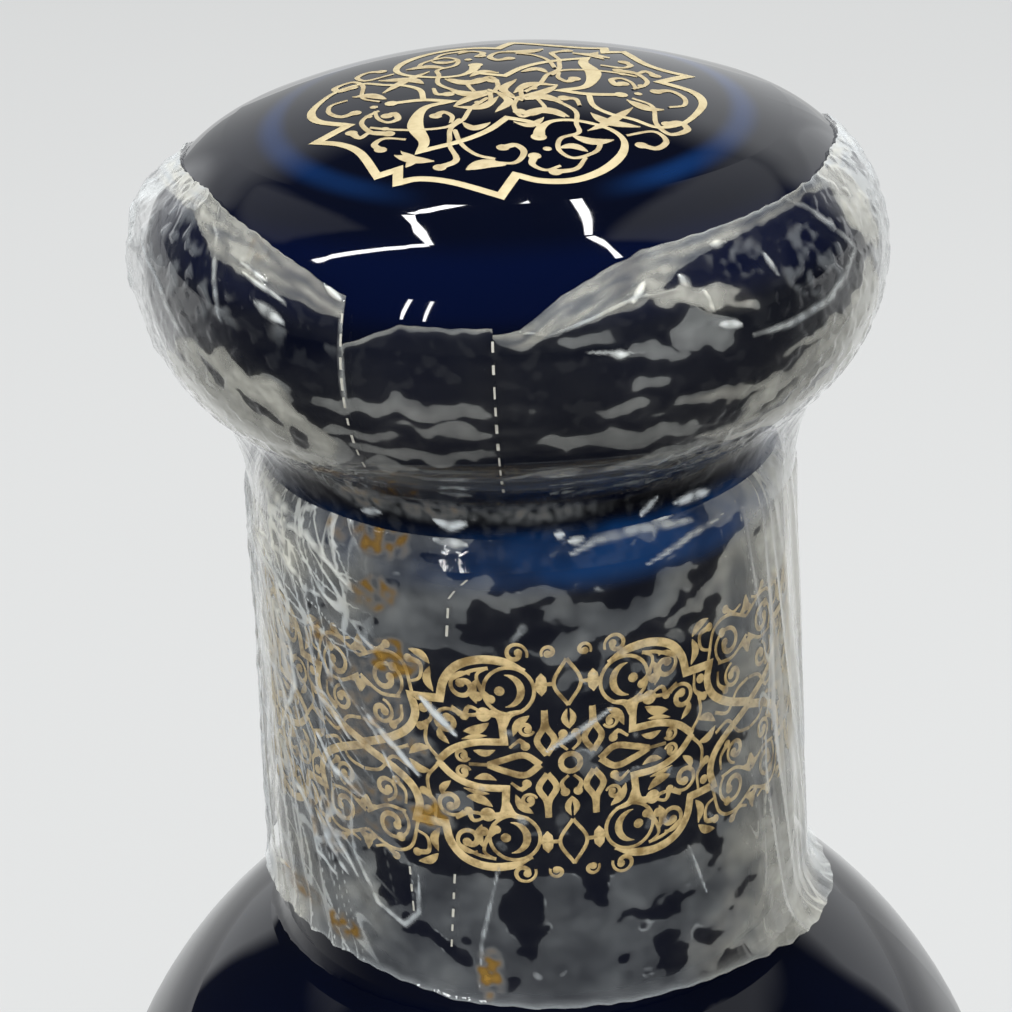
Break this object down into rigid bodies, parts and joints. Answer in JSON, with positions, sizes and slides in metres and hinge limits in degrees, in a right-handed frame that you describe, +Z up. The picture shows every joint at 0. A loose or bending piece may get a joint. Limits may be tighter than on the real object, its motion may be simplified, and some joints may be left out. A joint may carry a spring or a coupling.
{
  "type": "stoppered decanter bottle",
  "caption": "Cobalt decanter bottle with a gilded neck, a domed mushroom stopper on a cork sleeve that pulls out, and a clear perforated shrink seal over stopper and neck.",
  "frame": {"origin": "middle of the ring that the bottle stands on", "axes": "+Z up along the bottle's axis; the tear strip of the seal faces -Y"},
  "size_m": [0.083, 0.083, 0.2159],
  "materials": {
    "cobalt_glass": "polished, opaque from its depth of colour",
    "cork": "natural cork",
    "clear_film": "clear, crinkled",
    "gold": "fired gold"
  },
  "bodies": {
    "bottle": {"bottle": "cobalt_glass", "neck_film": "clear_film", "neck_tear_strip": "clear_film", "neck_gilding": "gold"},
    "stopper": {"stopper_head": "cobalt_glass", "stopper_cork": "cork", "head_film": "clear_film", "head_tear_strip": "clear_film", "crown_gilding": "gold"}
  },
  "joints": [
    {"name": "stopper_pull", "type": "slide", "parent": "bottle", "child": "stopper", "axis": [0, 0, 1], "range_m": [0, 0.07]}
  ]
}
